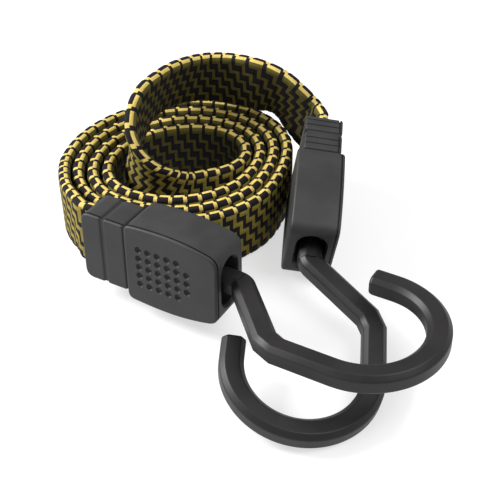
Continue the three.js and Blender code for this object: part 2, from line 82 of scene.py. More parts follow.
# Neck: pads with a groove after each, stepped in from the housing's faces
NECK_LENGTH = 13.6
NECK_WALL = 0.6
NECK_EDGE = 0.6
NECK_GROOVE = 0.7
NECK_GROOVE_DEPTH = 0.45
NECK_FRONT_STEP = 0.9
NECK_REAR_STEP = 1.6
NECK_HALF = STRAP_WIDTH / 2 + SEAT_GAP + NECK_WALL
NECK_FRONT = HALF_THICKNESS - NECK_FRONT_STEP
NECK_REAR = HALF_THICKNESS - NECK_REAR_STEP
NECK_COVER_JOINT = NECK_FRONT - COVER_THICKNESS
PAD_COUNT = 2
PAD_LENGTH = (NECK_LENGTH - PAD_COUNT * NECK_GROOVE) / PAD_COUNT
PAD_STARTS = [-NECK_LENGTH + i * (PAD_LENGTH + NECK_GROOVE) for i in range(PAD_COUNT)]
PAD_CORNER_SHARE = 0.15
NECK_END_CORNER_SHARE = 0.45
PAD_CORNER = PAD_CORNER_SHARE * PAD_LENGTH
NECK_END_CORNER = NECK_END_CORNER_SHARE * PAD_LENGTH

# Pin, eye and pocket
PIN_TO_MOUTH = 7.4
PIN_AT = BODY_LENGTH - PIN_TO_MOUTH
EYE_RADIUS = 4.6
POCKET_START = PIN_AT - EYE_RADIUS - TURNING_GAP

# Turn of each fitting in degrees: yaw, pitch, roll, and its hook's own tilt
FITTINGS = {
    "a": (-29.6, 2.4, -4.2, 0.4),
    "b": (-95.3, -11.3, 172.6, -3.0),
}


def fitting_matrix(letter, at_hook=False):
    """The place of a fitting's own frame in the part's frame, mm."""
    yaw, pitch, roll, tilt = (math.radians(v) for v in FITTINGS[letter])
    joint = next(j for j in frame["joints"] if j["child"] == f"hook_{letter}")
    turn = (
        Matrix.Rotation(yaw, 4, "Z")
        @ Matrix.Rotation(-pitch, 4, "Y")
        @ Matrix.Rotation(roll, 4, "X")
    )
    if at_hook:
        turn = turn @ Matrix.Rotation(-tilt, 4, "Y")
    pivot = Matrix.Translation(Vector(joint["pos_m"]) / MM)
    return pivot @ turn @ Matrix.Translation((-PIN_AT, 0, 0))


def new_object(name, data):
    obj = bpy.data.objects.new(name, data)
    scene.collection.objects.link(obj)
    return obj


# Camera
CAMERA_PLACE = Vector((0.0, -203.4, 198.0))
CAMERA_ELEVATION = 41.5
CAMERA_LENS = 79.2
SENSOR_WIDTH = 36.0
CLIP_START = 10.0

camera_data = bpy.data.cameras.new("camera")
camera_data.sensor_width = SENSOR_WIDTH
camera_data.lens = CAMERA_LENS
camera_data.clip_start = CLIP_START * MM
camera = new_object("camera", camera_data)
camera.location = (CAMERA_PLACE + OFFSET) * MM
camera.rotation_euler = (math.radians(90 - CAMERA_ELEVATION), 0, 0)
scene.camera = camera

# Coil: an oval spiral, drawn in at its start, with dents at some headings as (heading, spread, depth)
COIL_CENTRE = (-18.7, 38.3)
COIL_START_RADIUS = (16.7, 11.8)
COIL_GROWTH = (4.0, 4.3)
COIL_TURN = math.radians(23)
COIL_DRAW_IN = 11.2
COIL_DRAW_IN_TURNS = 0.5
COIL_START_TURN = 0.28
COIL_END_TURN = 3.93
COIL_DENTS = ((math.radians(239), math.radians(28), 1.9), (math.radians(-8), math.radians(22), 1.8))
STEPS_PER_TURN = 20
FLOOR_GAP = 0.1
COIL_HEIGHT = STRAP_WIDTH / 2 + FLOOR_GAP

# x, y, z of the strap's middle, and the lean of its top edge in degrees
LOOSE_ROUTE = (
    (15.6, 52.2, 20.8, -1),
    (11.9, 54.8, 24.5, 11.2),
    (7.6, 56.6, 27.2, 13.8),
    (2.5, 57.9, 28.4, 8),
    (-2.6, 59.8, 28.6, 7.5),
    (-8.1, 61.5, 28.5, 10.5),
    (-14.0, 61.4, 28.7, 15),
    (-20.2, 58.3, 29.2, 18.2),
    (-25.7, 52.5, 29.3, 16.8),
    (-29.8, 45.2, 28.1, 6.5),
    (-31.1, 38.5, 24.5, -2),
    (-29.8, 33.4, 18.6, -2.1),
    (-24.8, 30.3, 12.8, 2.4),
    (-18.4, 30.1, 9.7, 1.5),
)
LEAD_IN_ROUTE = (
    (-50.35, 34.7, 9.4, 0),
    (-49.7, 30.2, 10.2, 0),
    (-48.6, 25.4, 11.2, 0),
    (-46.9, 20.8, 12.3, 0),
    (-44.6, 16.4, 13.4, 0),
)

# How far the strap runs straight out of each neck
HELD_RUN = {"a": 3.2, "b": 1.8}

# Half the share of the route over which its direction is taken, the steps from stop to stop in which
# its length is measured, and the least chord that the curve divides by
SHARE_STEP = 1e-4
FINE_STEPS = 16
LEAST_CHORD = 1e-9


def coil_point(turn):
    """The stop of the route that lies a number of turns along the coil."""
    angle = 2 * math.pi * turn - math.pi
    pull = math.cos((math.pi / 2) * min(turn / COIL_DRAW_IN_TURNS, 1)) ** 2
    x = (COIL_START_RADIUS[0] + COIL_GROWTH[0] * turn) * math.cos(angle)
    y = (COIL_START_RADIUS[1] + COIL_GROWTH[1] * turn) * math.sin(angle) + COIL_DRAW_IN * pull
    turned = complex(x, y) * complex(math.cos(COIL_TURN), math.sin(COIL_TURN))
    heading = math.atan2(turned.imag, turned.real)
    dent = 0.0
    for direction, spread, depth in COIL_DENTS:
        aside = math.atan2(math.sin(heading - direction), math.cos(heading - direction))
        dent += depth * (turn / COIL_END_TURN) * math.exp(-((aside / spread) ** 2))
    turned *= (abs(turned) - dent) / abs(turned)
    return (COIL_CENTRE[0] + turned.real, COIL_CENTRE[1] + turned.imag, COIL_HEIGHT, 0)


def held_stops(letter, side):
    """The strap in a neck: from the housing's strap end to the straight run out of it."""
    matrix = fitting_matrix(letter)
    up = (matrix.to_3x3() @ Vector((0, 0, side))).normalized()
    places = (STRAP_END_AT, 0.0, -NECK_LENGTH, -NECK_LENGTH - HELD_RUN[letter])
    return [(matrix @ Vector((x, 0, 0)) - OFFSET, up) for x in places]


def catmull_rom(points):
    """A centripetal Catmull-Rom curve through points, as a function of the share from 0 to 1."""
    points = [np.array(p, float) for p in points]
    last = len(points) - 1

    def at(share):
        place = min(max(share, 0.0), 1.0) * last
        i = min(int(place), last - 1)
        w = place - i
        p1, p2 = points[i], points[i + 1]
        p0 = points[i - 1] if i > 0 else 2 * p1 - p2
        p3 = points[i + 2] if i + 2 <= last else 2 * p2 - p1
        pairs = ((p0, p1), (p1, p2), (p2, p3))
        d0, d1, d2 = (max(np.linalg.norm(b - a), LEAST_CHORD) ** 0.5 for a, b in pairs)
        t1 = ((p1 - p0) / d0 - (p2 - p0) / (d0 + d1) + (p2 - p1) / d1) * d1
        t2 = ((p2 - p1) / d1 - (p3 - p1) / (d1 + d2) + (p3 - p2) / d2) * d1
        square = w * w * (-3 * p1 + 3 * p2 - 2 * t1 - t2)
        return p1 + w * t1 + square + w ** 3 * (2 * p1 - 2 * p2 + t1 + t2)

    return at


def direction_of(curve, share):
    """The unit direction of a curve at a share of its way."""
    along = curve(share + SHARE_STEP) - curve(share - SHARE_STEP)
    return along / np.linalg.norm(along)


def square_to(along, direction):
    """A direction turned square to the way along, one unit long."""
    direction = direction - direction.dot(along) * along
    return direction / np.linalg.norm(direction)


def strap_line():
    """The strap's middle and its top edge's direction as curves, and the way travelled at shares of them."""
    held_b = held_stops("b", -1)
    held_a = held_stops("a", 1)[::-1]
    coil_steps = round((COIL_END_TURN - COIL_START_TURN) * STEPS_PER_TURN)
    coil = [coil_point(COIL_START_TURN + i / STEPS_PER_TURN) for i in range(coil_steps + 1)]
    free = [*LOOSE_ROUTE, *coil, *LEAD_IN_ROUTE]
    points = [p for p, _ in held_b] + [Vector(s[:3]) for s in free] + [p for p, _ in held_a]
    middle_line = catmull_rom(points)
    ups = [up for _, up in held_b]
    for i, stop in enumerate(free, len(held_b)):
        along = direction_of(middle_line, i / (len(points) - 1))
        outward = np.array((along[1], -along[0], 0.0))
        outward /= np.linalg.norm(outward)
        lean = math.radians(stop[3])
        up = np.array((0, 0, math.cos(lean))) - math.sin(lean) * outward
        ups.append(square_to(along, up))
    ups += [up for _, up in held_a]

    shares = np.linspace(0, 1, (len(points) - 1) * FINE_STEPS + 1)
    places = np.array([middle_line(s) for s in shares])
    steps = np.linalg.norm(np.diff(places, axis=0), axis=1)
    return middle_line, catmull_rom(ups), shares, np.concatenate(([0], np.cumsum(steps)))


line, up_line, line_shares, travelled = strap_line()


def strap_frames(distances):
    """Middle, width direction and through direction at each distance along the strap."""
    middles, ups, throughs = (np.zeros((len(distances), 3)) for _ in range(3))
    for i, share in enumerate(np.interp(distances, travelled, line_shares)):
        along = direction_of(line, share)
        middles[i] = line(share)
        ups[i] = square_to(along, up_line(share))
        throughs[i] = np.cross(along, ups[i])
    return middles + np.array(OFFSET), ups, throughs


# Weave: a repeat is PERIOD long and has COLUMNS cells, and a face has FACE_ROWS bands of FACE_SUB_ROWS
# cells across
PERIOD = 3.8
COLUMNS = 8
FACE_ROWS = 5
FACE_SUB_ROWS = 6
EDGE_SUB_ROWS = 4
CORNER_RADIUS = 1.25
# The three yellows are one yarn in painted shades: painted highlight on the edges, painted half shade on the
# outer face, painted shade on the inner face
BLACK, HALF_SHADED_OUTER_YELLOW, SHADED_INNER_YELLOW, LIT_EDGE_YELLOW = range(4)

# Cells along the strap: of a bar on the edge, of one on a face, of the post between two bars,
# and of the shift from one band to the next
EDGE_BAR, FACE_BAR, POST, FACE_STEP = 6, 6, 2, 4
OUTER_BAR_ROWS, INNER_BAR_ROWS = 3, 2

# Relief: inside a yarn, where colours meet, and the most that the middle of an edge has. The surface
# lies inside the strap's size by the insets, which leave room for it
HIGH, LOW, MIDLINE = 0.08, -0.12, -0.04
WIDTH_INSET, THROUGH_INSET = 0.12, 0.08

# How deep the mesh runs into each neck
INSIDE_NECK = 6.0
neck_end_at = STRAP_END_AT + NECK_LENGTH
mesh_start = neck_end_at - INSIDE_NECK
mesh_end = travelled[-1] - mesh_start


def strap_section():
    """The ring's corners (width, through), and the weave row of each stretch between them."""
    half_w, half_t = STRAP_WIDTH / 2 - WIDTH_INSET, STRAP_THICKNESS / 2 - THROUGH_INSET
    flat, straight = half_w - CORNER_RADIUS, half_t - CORNER_RADIUS
    quarter = [(half_w, 0.0)]
    for k in range(1, EDGE_SUB_ROWS):
        run = k / EDGE_SUB_ROWS * (CORNER_RADIUS * math.pi / 2 + straight) - straight
        turn = max(run, 0.0) / CORNER_RADIUS
        through = straight + min(run, 0.0) + CORNER_RADIUS * math.sin(turn)
        quarter.append((flat + CORNER_RADIUS * math.cos(turn), through))
    face = FACE_ROWS * FACE_SUB_ROWS
    half = quarter + [(flat - 2 * flat * k / face, half_t) for k in range(face + 1)]
    half += [(-w, t) for w, t in quarter[:0:-1]]
    ring = half + [(-w, -t) for w, t in half]
    outer = [("outer", k) for k in range(face)]
    inner = [("inner", face - 1 - k) for k in range(face)]
    edge_out, edge_in = ([(side, k) for k in range(EDGE_SUB_ROWS)] for side in ("edge_out", "edge_in"))
    return ring, edge_out + outer + edge_out[::-1] + edge_in + inner + edge_in[::-1]


def yarn(row, column):
    """The yarn that shows in one cell of the weave, columns counted along the strap. Its yellow is painted
    in shades: painted highlight on the edges, painted half shade on the outer face, painted shade on the
    inner face.
    """
    side, k = row
    if side == "edge_in":
        # Painted shade: the half of the inner edge next to the inner face takes the inner face's shaded
        # yellow, as a falloff into shadow
        shade = SHADED_INNER_YELLOW if k >= EDGE_SUB_ROWS // 2 else LIT_EDGE_YELLOW
        return shade if column < EDGE_BAR else BLACK
    if side == "edge_out":
        # Painted shade: the row of the outer edge next to the outer face takes the outer face's half-shaded
        # yellow
        shade = HALF_SHADED_OUTER_YELLOW if k == EDGE_SUB_ROWS - 1 else LIT_EDGE_YELLOW
        return shade if column in (EDGE_BAR - 1, EDGE_BAR) else BLACK
    band, sub = divmod(k, FACE_SUB_ROWS)
    # The outer face's yellow is painted half shade, and the inner face's yellow is painted deeper shade
    if side == "outer":
        bar_rows, yellow, post = OUTER_BAR_ROWS, HALF_SHADED_OUTER_YELLOW, range(FACE_BAR - POST, FACE_BAR)
    else:
        bar_rows, yellow, post = INNER_BAR_ROWS, SHADED_INNER_YELLOW, range(POST)
    shifted = (column - FACE_STEP * band) % COLUMNS
    shown = shifted < FACE_BAR if sub < bar_rows else shifted in post
    return yellow if shown else BLACK


def relief(cells):
    """How far each corner of the mesh stands proud: yarns are full inside and dip where colours meet."""
    before = np.vstack((cells[:1], cells))
    after = np.vstack((cells, cells[-1:]))
    same = (before == after) & (before == np.roll(before, 1, axis=1)) & (after == np.roll(after, 1, axis=1))
    height = np.where(same, HIGH, LOW)
    for k in (0, cells.shape[1] // 2):
        height[:, k] = np.minimum(height[:, k], MIDLINE)
    return height


def strap_corners(ring, height, distances):
    """The mesh's corners in metres, ring after ring, and the strap's middle at each ring."""
    w, t = np.array(ring).T
    out_w, out_t = np.roll(t, -1) - np.roll(t, 1), np.roll(w, 1) - np.roll(w, -1)
    size = np.hypot(out_w, out_t)
    across = (w + out_w / size * height)[:, :, None]
    through = (t + out_t / size * height)[:, :, None]
    middles, ups, throughs = strap_frames(distances)
    corners = middles[:, None] + across * ups[:, None] + through * throughs[:, None]
    return corners.reshape(-1, 3) * MM, middles * MM


def unwrap_strap(mesh, ring, distances, i, k):
    """UVs in millimetres: along the strap, and round its section."""
    w, t = np.array(ring).T
    girth = np.concatenate(([0], np.cumsum(np.hypot(np.diff([*w, w[0]]), np.diff([*t, t[0]])))))
    u = np.stack((distances[i], distances[i + 1], distances[i + 1], distances[i]), -1)
    v = np.stack((girth[k], girth[k], girth[k + 1], girth[k + 1]), -1)
    values = np.zeros((len(mesh.loops), 2))
    values[: u.size] = np.stack((u, v), -1).reshape(-1, 2)
    mesh.uv_layers.new(name="strap").data.foreach_set("uv", values.reshape(-1))


def smooth(mesh):
    mesh.polygons.foreach_set("use_smooth", [True] * len(mesh.polygons))


def build_strap():
    """The woven strap, a cell of mesh for each cell of the weave, and its middle line in metres."""
    ring, rows = strap_section()
    around = len(ring)
    count = round((mesh_end - mesh_start) / PERIOD * COLUMNS)
    distances = np.linspace(mesh_start, mesh_end, count + 1)
    colours = np.array([[yarn(row, column) for row in rows] for column in range(COLUMNS)])
    cells = colours[np.arange(count) % COLUMNS]
    corners, middles = strap_corners(ring, relief(cells), distances)
    i, k = (g.reshape(-1) for g in np.meshgrid(np.arange(count), np.arange(around), indexing="ij"))
    k2 = (k + 1) % around
    quads = np.stack((i * around + k, (i + 1) * around + k, (i + 1) * around + k2, i * around + k2), -1)
    caps = [list(range(around)), list(range(count * around, (count + 1) * around))[::-1]]
    mesh = bpy.data.meshes.new("woven_strap")
    mesh.from_pydata(corners.tolist(), [], quads.tolist() + caps)
    mesh.polygons.foreach_set("material_index", cells.reshape(-1).tolist() + [BLACK, BLACK])
    smooth(mesh)
    unwrap_strap(mesh, ring, distances, i, k)
    mesh.update()
    return new_object("woven_strap", mesh), middles


# Nodes of the materials
def new_material(name, colour, roughness, metallic=0.0):
    material = bpy.data.materials.new(name)
    material.use_nodes = True
    nodes, links = material.node_tree.nodes, material.node_tree.links
    shader = nodes["Principled BSDF"]
    shader.inputs["Base Color"].default_value = (*colour, 1)
    shader.inputs["Roughness"].default_value = roughness
    shader.inputs["Metallic"].default_value = metallic
    return material, nodes, links, shader


def mix_colours(nodes, links, factor, dark, light, low, high):
    ramp = nodes.new("ShaderNodeValToRGB")
    ramp.color_ramp.elements[0].position = low
    ramp.color_ramp.elements[0].color = (*dark, 1)
    ramp.color_ramp.elements[1].position = high
    ramp.color_ramp.elements[1].color = (*light, 1)
    links.new(factor, ramp.inputs["Fac"])
    return ramp.outputs["Color"]


def noise(nodes, links, vector, scale, detail):
    texture = nodes.new("ShaderNodeTexNoise")
    texture.inputs["Scale"].default_value = scale
    texture.inputs["Detail"].default_value = detail
    links.new(vector, texture.inputs["Vector"])
    return texture.outputs["Fac"]


def stretched(nodes, links, vector, scale):
    mapping = nodes.new("ShaderNodeMapping")
    mapping.inputs["Scale"].default_value = scale
    links.new(vector, mapping.inputs["Vector"])
    return mapping.outputs["Vector"]


def bump(nodes, links, height, strength, distance):
    node = nodes.new("ShaderNodeBump")
    node.inputs["Strength"].default_value = strength
    node.inputs["Distance"].default_value = distance
    links.new(height, node.inputs["Height"])
    return node.outputs["Normal"]


def ramp_value(nodes, links, value, low, high):
    node = nodes.new("ShaderNodeMapRange")
    node.inputs["To Min"].default_value = low
    node.inputs["To Max"].default_value = high
    links.new(value, node.inputs["Value"])
    return node.outputs["Result"]


# Looks: each material has a dark and a light colour. The yarns are in the order of the strap's slots
YARN_SHINE = 0.25
PLASTIC_SHINE = 0.4
FIBRE_STRETCH = (1.2, 9.0, 1.0)
FIBRE_WEIGHT = 0.65
SHADE_WEIGHT = 0.35
BRUSHED_STRETCH = (1.0, 1.0, 12.0)
# The three yellow materials are one yarn in painted shades: painted half shade on the outer face, painted
# shade on the inner face, painted highlight on the edges
YARNS = (
    ("yarn_black", (0.003, 0.002, 0.004), (0.012, 0.009, 0.012), 0.85),
    ("yarn_yellow_painted_half_shade_outer", (0.16, 0.12, 0.016), (0.42, 0.34, 0.07), 0.8),
    ("yarn_yellow_painted_shade_inner", (0.05, 0.042, 0.008), (0.15, 0.13, 0.03), 0.85),
    ("yarn_yellow_painted_lit_edge", (0.45, 0.31, 0.04), (0.93, 0.74, 0.25), 0.65),
)
HOUSING_COLOURS = ((0.019, 0.019, 0.02), (0.033, 0.033, 0.034))
HOOK_COLOURS = ((0.006, 0.0055, 0.0055), (0.013, 0.011, 0.0115))
STEEL_COLOURS = ((0.36, 0.36, 0.37), (0.52, 0.52, 0.53))
STEEL_MIDDLE = (0.45, 0.45, 0.46)
RUBBER_COLOURS = ((0.5, 0.36, 0.19), (0.64, 0.49, 0.29))
RUBBER_MIDDLE = (0.58, 0.43, 0.24)


def yarn_material(name, dark, light, roughness):
    """Multifilament yarn: fine fibres along the float, and slow changes of shade."""
    material, nodes, links, shader = new_material(name, light, roughness)
    uv = nodes.new("ShaderNodeUVMap")
    uv.uv_map = "strap"
    drawn_out = stretched(nodes, links, uv.outputs["UV"], FIBRE_STRETCH)
    fibres = noise(nodes, links, drawn_out, scale=1.6, detail=3.0)
    slow = noise(nodes, links, uv.outputs["UV"], scale=0.35, detail=2.0)
    both = nodes.new("ShaderNodeMath")
    both.operation = "MULTIPLY_ADD"
    both.inputs[1].default_value = FIBRE_WEIGHT
    links.new(fibres, both.inputs[0])
    links.new(ramp_value(nodes, links, slow, low=0.0, high=SHADE_WEIGHT), both.inputs[2])
    shade = mix_colours(nodes, links, both.outputs["Value"], dark, light, low=0.3, high=0.75)
    links.new(shade, shader.inputs["Base Color"])
    links.new(bump(nodes, links, fibres, strength=0.5, distance=0.15 * MM), shader.inputs["Normal"])
    shader.inputs["Specular IOR Level"].default_value = YARN_SHINE
    return material


def plastic_material(name, dark, light, rough_low, rough_high, grain):
    """Moulded plastic: a fine matt grain, faint flow marks, and roughness that varies a little."""
    material, nodes, links, shader = new_material(name, light, rough_high)
    place = nodes.new("ShaderNodeTexCoord").outputs["Object"]
    flow = noise(nodes, links, place, scale=90.0, detail=3.0)
    fine = noise(nodes, links, place, scale=2600.0, detail=2.0)
    shade = mix_colours(nodes, links, flow, dark, light, low=0.35, high=0.7)
    links.new(shade, shader.inputs["Base Color"])
    links.new(ramp_value(nodes, links, flow, rough_low, rough_high), shader.inputs["Roughness"])
    links.new(bump(nodes, links, fine, grain, distance=0.06 * MM), shader.inputs["Normal"])
    shader.inputs["Specular IOR Level"].default_value = PLASTIC_SHINE
    return material


def steel_material():
    """Strip steel with fine brushed streaks."""
    material, nodes, links, shader = new_material("steel_strip", STEEL_MIDDLE, 0.4, metallic=1.0)
    place = nodes.new("ShaderNodeTexCoord").outputs["Object"]
    drawn_out = stretched(nodes, links, place, BRUSHED_STRETCH)
    brushed = noise(nodes, links, drawn_out, scale=500.0, detail=3.0)
    shade = mix_colours(nodes, links, brushed, *STEEL_COLOURS, low=0.3, high=0.7)
    links.new(shade, shader.inputs["Base Color"])
    links.new(ramp_value(nodes, links, brushed, low=0.3, high=0.5), shader.inputs["Roughness"])
    return material


def rubber_material():
    """Natural latex, cloudy and slightly uneven."""
    material, nodes, links, shader = new_material("latex_rubber", RUBBER_MIDDLE, 0.65)
    place = nodes.new("ShaderNodeTexCoord").outputs["Object"]
    cloud = noise(nodes, links, place, scale=300.0, detail=3.0)
    shade = mix_colours(nodes, links, cloud, *RUBBER_COLOURS, low=0.3, high=0.7)
    links.new(shade, shader.inputs["Base Color"])
    links.new(bump(nodes, links, cloud, strength=0.2, distance=0.1 * MM), shader.inputs["Normal"])
    return material


housing_plastic = plastic_material(
    "housing_plastic", *HOUSING_COLOURS, rough_low=0.5, rough_high=0.62, grain=0.35
)
hook_plastic = plastic_material("hook_plastic", *HOOK_COLOURS, rough_low=0.4, rough_high=0.55, grain=0.25)
steel = steel_material()
rubber = rubber_material()

# The strap's piece
strap, strap_path = build_strap()
for yarn_look in YARNS:
    strap.data.materials.append(yarn_material(*yarn_look))
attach(strap, "cord")
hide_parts("strap_loop", "strap_coil")


# Tools for solids
CURVE_STEPS = 10
ROUND_STEPS = 3
EDGE_STEPS = 5
SAME_POINT = 1e-6
INSET_MITRE_LIMIT = 0.5


def mesh_object(name, verts, faces):
    mesh = bpy.data.meshes.new(name)
    mesh.from_pydata([tuple(float(x) * MM for x in v) for v in verts], [], faces)
    mesh.update()
    return new_object(name, mesh)


def stack(name, rings):
    """A closed solid through rings of corners, each as long as the first."""
    n = len(rings[0])
    verts = [p for ring in rings for p in ring]
    faces = [list(range(n))[::-1], [(len(rings) - 1) * n + i for i in range(n)]]
    for r in range(len(rings) - 1):
        for i in range(n):
            j = (i + 1) % n
            faces.append([r * n + i, r * n + j, (r + 1) * n + j, (r + 1) * n + i])
    return mesh_object(name, verts, faces)


def block(low, high):
    (x0, y0, z0), (x1, y1, z1) = low, high
    bottom = [(x0, y0, z0), (x1, y0, z0), (x1, y1, z0), (x0, y1, z0)]
    top = [(x, y, z1) for x, y, _ in bottom]
    return stack("block", [bottom, top])


def circle(radius, x, z, sides):
    """Points round a circle in the plane of X and Z."""
    turns = [2 * math.pi * i / sides for i in range(sides)]
    return [(x + radius * math.cos(a), z + radius * math.sin(a)) for a in turns]


def at_level(outline, y):
    """An outline in X and Z, placed at a level through the thickness."""
    return [(x, y, z) for x, z in outline]


def apply_modifiers(obj):
    graph = bpy.context.evaluated_depsgraph_get()
    mesh = bpy.data.meshes.new_from_object(obj.evaluated_get(graph))
    obj.modifiers.clear()
    old = obj.data
    obj.data = mesh
    bpy.data.meshes.remove(old)


def apply_boolean(target, other, operation):
    """Joins, cuts or clips a solid with another one, which is used up."""
    modifier = target.modifiers.new("cut", "BOOLEAN")
    modifier.operation = operation
    modifier.solver = "MANIFOLD"
    modifier.object = other
    apply_modifiers(target)
    bpy.data.objects.remove(other)
    return target


def join(first, *others):
    for other in others:
        apply_boolean(first, other, "UNION")
    return first


def cut(target, *others):
    for other in others:
        apply_boolean(target, other, "DIFFERENCE")
    return target


def quadratic(p0, p1, p2, steps=CURVE_STEPS):
    """Points along the curve from p0 to p2 that heads for p1 on the way."""
    return [
        tuple((1 - t) ** 2 * a + 2 * t * (1 - t) * b + t * t * c for a, b, c in zip(p0, p1, p2))
        for t in (k / steps for k in range(steps + 1))
    ]


def towards(a, b, distance):
    return a + (b - a).normalized() * distance


def rounded_polygon(corners, radius):
    """The polygon with each corner eased by a small curve."""
    points = []
    for i, corner in enumerate(corners):
        here = Vector(corner)
        start = towards(here, Vector(corners[i - 1]), radius)
        end = towards(here, Vector(corners[(i + 1) % len(corners)]), radius)
        points += quadratic(start, here, end, ROUND_STEPS)
    return points


def mirrored(upper):
    """The upper half of an outline without its double points, and its mirror image."""
    clean = [upper[0]]
    for p in upper[1:]:
        if math.dist(p, clean[-1]) > SAME_POINT:
            clean.append(p)
    return clean + [(x, -z) for x, z in clean[::-1]]


def inset(outline, distance):
    """The outline drawn in by a distance, square to its own sides."""
    n = len(outline)
    points = []
    for i in range(n):
        (xa, za), (xb, zb), (xc, zc) = outline[i - 1], outline[i], outline[(i + 1) % n]
        e0 = Vector((xb - xa, zb - za)).normalized()
        e1 = Vector((xc - xb, zc - zb)).normalized()
        bisector = Vector((e0.y + e1.y, -e0.x - e1.x))
        bisector.normalize()
        reach = distance / max(bisector.dot(Vector((e0.y, -e0.x))), INSET_MITRE_LIMIT)
        points.append((xb + bisector.x * reach, zb + bisector.y * reach))
    return points


def plate(outline, front, rear, edge):
    """The outline carried through the thickness, with rounded edges."""
    turns = [math.pi / 2 * k / EDGE_STEPS for k in range(EDGE_STEPS + 1)]
    low = [(front + edge * (1 - math.cos(a)), edge * (1 - math.sin(a))) for a in turns]
    high = [(front + rear - y, drawn_in) for y, drawn_in in low[::-1]]
    return stack("plate", [at_level(inset(outline, drawn_in), y) for y, drawn_in in low + high])


# Housing: an outer form, split at the cover's joint
POCKET_HALF_ACROSS = 6.8
POCKET_HALF_THROUGH = 3.75
POCKET_STEPS = 20
MOUTH_FLARE = 1.13
MOUTH_FLARE_DEPTH = 0.7
MOUTH_FLARE_PAST = 0.2
MOUTH_WALL = 2.0
CHANNEL_END_AT = 12.0

RIB_COUNT = 2
RIB_WIDTH = 0.45
RIB_DEPTH = 0.18
NECK_END_RIB_SHIFT = 0.35

DIMPLE_RADIUS = 1.0
DIMPLE_DEPTH = 0.75
DIMPLE_START = 4.2
DIMPLE_PITCH = (2.77, 2.6)
DIMPLE_ROWS = (5, 6, 6, 6, 5)
DIMPLE_RINGS = 7
DIMPLE_SIDES = 20

PARTING_GAP = 0.45
TONGUE_INSET = 0.5
TONGUE_ROOT = 0.8
TONGUE_GAP = 0.01
TONGUE_CORNER = 0.5


def belly_half(x):
    """Half the body's width: a parabola from the belly to each end."""
    strap_side = x < BODY_BELLY_AT
    drop = BODY_BELLY_HALF - (BODY_STRAP_END_HALF if strap_side else BODY_HOOK_END_HALF)
    run = BODY_BELLY_AT if strap_side else BODY_LENGTH - BODY_BELLY_AT
    return BODY_BELLY_HALF - drop * ((x - BODY_BELLY_AT) / run) ** 2


def body_outline():
    first, last = BODY_STRAP_CORNER, BODY_LENGTH - BODY_HOOK_CORNER
    start, end = (first, belly_half(first)), (last, belly_half(last))
    belly = (BODY_BELLY_AT, BODY_BELLY_HALF)
    upper = quadratic((0, belly_half(0) - BODY_STRAP_CORNER), (0, belly_half(first / 2)), start)
    upper += quadratic(start, ((first + belly[0]) / 2, belly[1]), belly)
    upper += quadratic(belly, ((last + belly[0]) / 2, belly[1]), end)
    hook_end = (BODY_LENGTH, BODY_HOOK_END_HALF - BODY_HOOK_CORNER)
    upper += quadratic(end, (BODY_LENGTH, belly_half(BODY_LENGTH)), hook_end)
    return mirrored(upper)


def pad_outline(start, end, start_corner, end_corner):
    after_start, before_end = (start + start_corner, NECK_HALF), (end - end_corner, NECK_HALF)
    upper = quadratic((start, NECK_HALF - start_corner), (start, NECK_HALF), after_start)
    upper += quadratic(before_end, (end, NECK_HALF), (end, NECK_HALF - end_corner))
    return mirrored(upper)


def outer_form():
    """Body and neck in one: the pads stand on a spine that shows in their grooves."""
    pads = []
    for i, start in enumerate(PAD_STARTS):
        start_corner = NECK_END_CORNER if i == 0 else PAD_CORNER
        outline = pad_outline(start, start + PAD_LENGTH, start_corner, PAD_CORNER)
        pads.append(plate(outline, -NECK_FRONT, NECK_REAR, NECK_EDGE))
    spine_half = NECK_HALF - NECK_GROOVE_DEPTH
    spine = block(
        (-NECK_LENGTH + NECK_END_CORNER, NECK_GROOVE_DEPTH - NECK_FRONT, -spine_half),
        (BODY_STRAP_CORNER, NECK_REAR - NECK_GROOVE_DEPTH, spine_half),
    )
    body = plate(body_outline(), -HALF_THICKNESS, HALF_THICKNESS, BODY_EDGE)
    return join(body, spine, *pads)


def cover_halfspace(offset):
    """All that lies in front of the joint between cover and tray, less an offset."""
    far = BODY_BELLY_HALF + OVERRUN
    body = block((0, -far, -far), (BODY_LENGTH + OVERRUN, -COVER_JOINT - offset, far))
    neck = block((-NECK_LENGTH - OVERRUN, -far, -far), (OVERRUN - offset, -NECK_COVER_JOINT - offset, far))
    return join(body, neck)


def pocket_form():
    """The hook's pocket: a slot with round ends, flared at its mouth."""
    radius = POCKET_HALF_THROUGH
    straight = POCKET_HALF_ACROSS - radius
    ring = []
    for side, first in ((1, 0), (-1, math.pi)):
        for k in range(POCKET_STEPS + 1):
            a = math.pi * k / POCKET_STEPS + first
            ring.append((radius * math.cos(a), side * straight + radius * math.sin(a)))
    levels = (
        (POCKET_START, 1),
        (BODY_LENGTH - MOUTH_FLARE_DEPTH, 1),
        (BODY_LENGTH + MOUTH_FLARE_PAST, MOUTH_FLARE),
        (BODY_LENGTH + OVERRUN, MOUTH_FLARE),
    )
    return stack("pocket", [[(x, y * flare, z * flare) for y, z in ring] for x, flare in levels])


def rib_cuts():
    """Thin grooves across one narrow side of each neck pad: the photo shows none on the other."""
    cuts = []
    for i, start in enumerate(PAD_STARTS):
        shift = NECK_END_RIB_SHIFT if i == 0 else 0
        for r in range(RIB_COUNT):
            x = start + PAD_LENGTH * (r + 1 + shift) / (RIB_COUNT + 1 + shift)
            low = (x - RIB_WIDTH / 2, -NECK_FRONT - OVERRUN, -NECK_HALF - OVERRUN)
            high = (x + RIB_WIDTH / 2, NECK_REAR + OVERRUN, -NECK_HALF + RIB_DEPTH)
            cuts.append(block(low, high))
    return cuts


